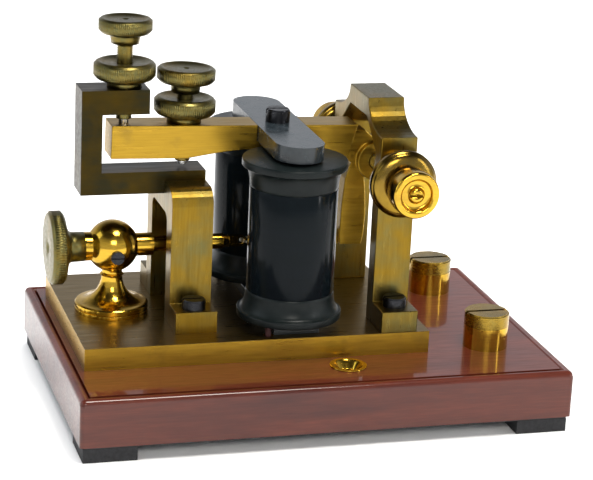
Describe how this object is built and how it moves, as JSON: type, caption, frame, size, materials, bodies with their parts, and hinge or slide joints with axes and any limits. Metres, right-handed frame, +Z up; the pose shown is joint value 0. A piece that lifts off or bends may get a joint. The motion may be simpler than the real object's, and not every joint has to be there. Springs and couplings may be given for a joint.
{
  "type": "telegraph sounder",
  "caption": "Telegraph sounder: two upright coils pull an armature on a pivoted brass lever that strikes an anvil frame, on a polished wooden base.",
  "frame": {"origin": "centre of the base's footprint on the bench, at the underside of the feet", "axes": "+X along the base towards the two terminals, +Y to the rear, +Z up"},
  "size_m": [0.15, 0.1024, 0.117],
  "materials": {
    "mahogany": "french polished, red-brown",
    "black_card": "matt black board",
    "rubber": "matt black",
    "steel": "bright turned",
    "blued_steel": "blackened",
    "plate_brass": "satin, edges bright",
    "bridge_brass": "satin, lacquered",
    "aged_brass": "dark with age",
    "polished_brass": "polished and lacquered",
    "nut_brass": "smooth, lacquered",
    "knurled_brass": "olive patina on knurling",
    "terminal_brass": "dull top, slotted",
    "lever_brass": "brushed along its length",
    "ebonite": "black, satin",
    "coil_wrap": "black, glossy",
    "covered_wire": "dark red covering",
    "soft_iron": "bare",
    "black_iron": "black, glossy",
    "spring_wire": "drawn wire"
  },
  "bodies": {
    "frame": {"wood_base": "mahogany", "bottom_cover": "black_card", "feet": "rubber", "feet_screws": "steel", "bed_plate": "plate_brass", "bed_plate_screws": "steel", "anvil_bridge": "bridge_brass", "anvil_bridge_screws": "blued_steel", "anvil_frame": "aged_brass", "anvil_frame_screws": "steel", "pivot_bridge": "bridge_brass", "pivot_bridge_screws": "blued_steel", "front_bobbin": "ebonite", "rear_bobbin": "ebonite", "front_winding": "covered_wire", "rear_winding": "covered_wire", "front_coil_cover": "coil_wrap", "rear_coil_cover": "coil_wrap", "front_core": "soft_iron", "rear_core": "soft_iron", "yoke": "black_iron", "yoke_screws": "steel", "coil_leads": "covered_wire", "base_wires": "covered_wire", "ball_post": "polished_brass", "ball_post_screw": "steel", "front_terminal": "polished_brass", "rear_terminal": "polished_brass", "terminal_nuts": "polished_brass", "fixing_ferrule": "polished_brass"},
    "lever": {"lever": "lever_brass", "lever_axle": "steel", "armature": "black_iron", "armature_screw": "blued_steel"},
    "lever_stop_tip": {"lever_stop_tip": "steel"},
    "lever_stop_screw": {"lever_stop_screw": "knurled_brass"},
    "lever_stop_lock_nut": {"lever_stop_lock_nut": "knurled_brass"},
    "upper_stop_tip": {"upper_stop_tip": "steel"},
    "upper_stop_screw": {"upper_stop_screw": "knurled_brass"},
    "upper_stop_lock_nut": {"upper_stop_lock_nut": "knurled_brass"},
    "front_pivot_screw": {"front_pivot_screw": "polished_brass"},
    "rear_pivot_screw": {"rear_pivot_screw": "polished_brass"},
    "front_pivot_lock_nut": {"front_pivot_lock_nut": "nut_brass"},
    "rear_pivot_lock_nut": {"rear_pivot_lock_nut": "nut_brass"},
    "tension_nut": {"tension_nut": "knurled_brass"},
    "tension_rod": {"tension_rod": "polished_brass", "tension_spring": "spring_wire"},
    "clamp_screw": {"clamp_screw": "blued_steel"},
    "front_terminal_screw": {"front_terminal_screw": "terminal_brass"},
    "rear_terminal_screw": {"rear_terminal_screw": "terminal_brass"}
  },
  "joints": [
    {"name": "lever_pivot", "type": "hinge", "parent": "frame", "child": "lever", "pos_m": [0.0263, 0.0064, 0.072], "axis": [0, -1, 0], "range_deg": [0, 0.87], "stiffness_Nm_per_rad": 0.3, "springref_deg": -17.19},
    {"name": "lever_stop_feed", "type": "slide", "parent": "lever", "child": "lever_stop_tip", "axis": [0.0197, 0, 0.9998], "range_m": [0, 0.00071]},
    {"name": "lever_stop_turn", "type": "hinge", "parent": "lever_stop_tip", "child": "lever_stop_screw", "pos_m": [-0.03405, 0.0064, 0.08519], "axis": [0.0197, 0, 0.9998], "range_deg": [0, 360]},
    {"name": "lever_stop_lock_turn", "type": "hinge", "parent": "lever", "child": "lever_stop_lock_nut", "pos_m": [-0.03405, 0.0064, 0.08519], "axis": [0.0197, 0, 0.9998], "range_deg": [0, 180]},
    {"name": "upper_stop_feed", "type": "slide", "parent": "frame", "child": "upper_stop_tip", "axis": [0, 0, 1], "range_m": [0, 0.00071]},
    {"name": "upper_stop_turn", "type": "hinge", "parent": "upper_stop_tip", "child": "upper_stop_screw", "pos_m": [-0.0526, 0.0064, 0.105], "axis": [0, 0, 1], "range_deg": [0, 360]},
    {"name": "upper_stop_lock_turn", "type": "hinge", "parent": "frame", "child": "upper_stop_lock_nut", "pos_m": [-0.0526, 0.0064, 0.1], "axis": [0, 0, 1], "range_deg": [0, 180]},
    {"name": "front_pivot_screw_turn", "type": "hinge", "parent": "frame", "child": "front_pivot_screw", "pos_m": [0.0263, -0.0316, 0.072], "axis": [0, -1, 0], "range_deg": [-90, 90]},
    {"name": "rear_pivot_screw_turn", "type": "hinge", "parent": "frame", "child": "rear_pivot_screw", "pos_m": [0.0263, 0.0444, 0.072], "axis": [0, 1, 0], "range_deg": [-90, 90]},
    {"name": "front_pivot_lock_turn", "type": "hinge", "parent": "frame", "child": "front_pivot_lock_nut", "pos_m": [0.0263, -0.0216, 0.072], "axis": [0, -1, 0], "range_deg": [0, 180]},
    {"name": "rear_pivot_lock_turn", "type": "hinge", "parent": "frame", "child": "rear_pivot_lock_nut", "pos_m": [0.0263, 0.0344, 0.072], "axis": [0, 1, 0], "range_deg": [0, 180]},
    {"name": "tension_nut_turn", "type": "hinge", "parent": "frame", "child": "tension_nut", "pos_m": [-0.072, 0.0064, 0.0466], "axis": [1, 0, 0], "range_deg": [-360, 360]},
    {"name": "tension_rod_slide", "type": "slide", "parent": "frame", "child": "tension_rod", "axis": [1, 0, 0], "range_m": [-0.00071, 0.00071]},
    {"name": "clamp_screw_turn", "type": "hinge", "parent": "frame", "child": "clamp_screw", "pos_m": [-0.0552, -0.0016, 0.0452], "axis": [0, -1, 0], "range_deg": [0, 180]},
    {"name": "front_terminal_turn", "type": "hinge", "parent": "frame", "child": "front_terminal_screw", "pos_m": [0.0561, -0.0243, 0.028], "axis": [0, 0, 1], "range_deg": [0, 180]},
    {"name": "rear_terminal_turn", "type": "hinge", "parent": "frame", "child": "rear_terminal_screw", "pos_m": [0.0561, 0.0291, 0.028], "axis": [0, 0, 1], "range_deg": [0, 180]}
  ],
  "couplings": [
    {"joint": "lever_stop_feed", "follows": "lever_stop_turn", "m_per_rad": 0.00011141},
    {"joint": "upper_stop_feed", "follows": "upper_stop_turn", "m_per_rad": 0.00011141},
    {"joint": "tension_rod_slide", "follows": "tension_nut_turn", "m_per_rad": -0.00011141}
  ]
}
